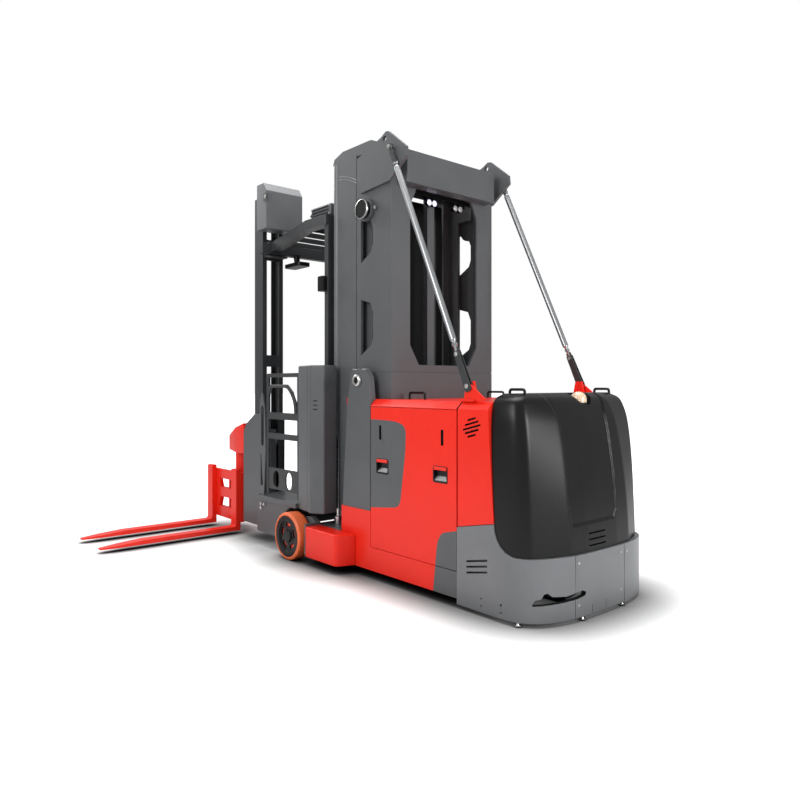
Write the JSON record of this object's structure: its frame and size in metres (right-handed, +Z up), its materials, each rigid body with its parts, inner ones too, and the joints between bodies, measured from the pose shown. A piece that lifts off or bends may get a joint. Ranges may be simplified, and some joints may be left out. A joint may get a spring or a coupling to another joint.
{
  "type": "man-up turret truck",
  "caption": "Man-up narrow-aisle truck: twin-stage stayed mast, rising cab, traversing auxiliary mast and a rotating fork head on a battery chassis.",
  "frame": {"origin": "middle of the outer box at floor level", "axes": "+Y points from the rear hood to the fork head, +X to the operator's right, +Z up"},
  "size_m": [2.572, 3.973, 3.1],
  "materials": {
    "red_paint": "satin",
    "grey_paint": "satin",
    "bumper_grey": "textured",
    "black_plastic": "matte",
    "steel": "brushed",
    "orange_tyre": "matte",
    "amber": "matte"
  },
  "bodies": {
    "chassis": {"chassis_body": "red_paint", "battery_block": "black_plastic", "rear_bumper": "bumper_grey", "drive_mount": "grey_paint", "drive_motor": "black_plastic", "load_frame": "grey_paint", "outer_mast": "grey_paint", "leg_cover_left": "red_paint", "leg_cover_right": "red_paint", "mast_bracket_left": "grey_paint", "mast_bracket_right": "grey_paint", "mast_stay_left": "steel", "mast_stay_right": "steel", "stay_bracket_left": "red_paint", "stay_bracket_right": "red_paint", "lift_rod_left": "steel", "lift_rod_right": "steel", "work_lights": "black_plastic"},
    "door_left": {"battery_door_left": "red_paint"},
    "door_right": {"battery_door_right": "red_paint"},
    "hood": {"rear_hood": "black_plastic", "beacon": "amber"},
    "load_wheel_left": {"load_tyre_left": "orange_tyre", "load_hub_left": "black_plastic"},
    "load_wheel_right": {"load_tyre_right": "orange_tyre", "load_hub_right": "black_plastic"},
    "steering": {"steer_yoke": "grey_paint"},
    "drive_wheel": {"drive_tyre": "black_plastic"},
    "inner_mast": {"inner_mast": "grey_paint", "lift_cylinder_left": "grey_paint", "lift_cylinder_right": "grey_paint"},
    "cab": {"cab_carriage": "grey_paint", "cab_floor": "grey_paint", "back_wall": "grey_paint", "overhead_guard": "grey_paint", "roof_unit": "black_plastic", "lower_rail": "black_plastic", "console": "black_plastic", "rear_cabinet_left": "grey_paint", "rear_cabinet_right": "grey_paint", "front_pillar_left": "grey_paint", "front_pillar_right": "grey_paint"},
    "gate_left": {"side_gate_left": "grey_paint"},
    "gate_right": {"side_gate_right": "grey_paint"},
    "aux_mast": {"aux_mast": "grey_paint", "aux_cap": "grey_paint"},
    "nose": {"nose_housing": "grey_paint", "nose_tip": "red_paint"},
    "fork_head": {"fork_carriage": "red_paint", "fork_rear": "red_paint", "fork_front": "red_paint"}
  },
  "joints": [
    {"name": "door_left_hinge", "type": "hinge", "parent": "chassis", "child": "door_left", "pos_m": [-0.092, -0.5175, 0.22], "axis": [0, 0, -1], "range_deg": [0, 100]},
    {"name": "door_right_hinge", "type": "hinge", "parent": "chassis", "child": "door_right", "pos_m": [1.12, -0.5175, 0.22], "axis": [0, 0, 1], "range_deg": [0, 100]},
    {"name": "hood_hinge", "type": "hinge", "parent": "chassis", "child": "hood", "pos_m": [0.514, -1.5985, 1.295], "axis": [-1, 0, 0], "range_deg": [0, 70]},
    {"name": "load_wheel_left_spin", "type": "hinge", "parent": "chassis", "child": "load_wheel_left", "pos_m": [-0.258, 0.3165, 0.1815], "axis": [1, 0, 0], "continuous": true},
    {"name": "load_wheel_right_spin", "type": "hinge", "parent": "chassis", "child": "load_wheel_right", "pos_m": [1.286, 0.3165, 0.1815], "axis": [1, 0, 0], "continuous": true},
    {"name": "steering", "type": "hinge", "parent": "chassis", "child": "steering", "pos_m": [0.514, -1.6135, 0.2], "axis": [0, 0, 1], "range_deg": [-90, 90]},
    {"name": "drive_wheel_spin", "type": "hinge", "parent": "steering", "child": "drive_wheel", "pos_m": [0.514, -1.6135, 0.2], "axis": [1, 0, 0], "continuous": true},
    {"name": "mast_lift", "type": "slide", "parent": "chassis", "child": "inner_mast", "axis": [0, 0, 1], "range_m": [0, 1.5]},
    {"name": "cab_lift", "type": "slide", "parent": "inner_mast", "child": "cab", "axis": [0, 0, 1], "range_m": [0, 1.5]},
    {"name": "gate_left_hinge", "type": "hinge", "parent": "cab", "child": "gate_left", "pos_m": [-0.141, 0.3198, 0.385], "axis": [0, 0, -1], "range_deg": [0, 85]},
    {"name": "gate_right_hinge", "type": "hinge", "parent": "cab", "child": "gate_right", "pos_m": [1.169, 0.3198, 0.385], "axis": [0, 0, 1], "range_deg": [0, 85]},
    {"name": "traverse", "type": "slide", "parent": "cab", "child": "aux_mast", "axis": [1, 0, 0], "range_m": [0, 0.96]},
    {"name": "aux_lift", "type": "slide", "parent": "aux_mast", "child": "nose", "axis": [0, 0, 1], "range_m": [0, 1.7]},
    {"name": "fork_swivel", "type": "hinge", "parent": "nose", "child": "fork_head", "pos_m": [0.114, 1.6965, 0.03], "axis": [0, 0, -1], "range_deg": [0, 180]}
  ],
  "couplings": [
    {"joint": "cab_lift", "follows": "mast_lift", "ratio": 1}
  ]
}
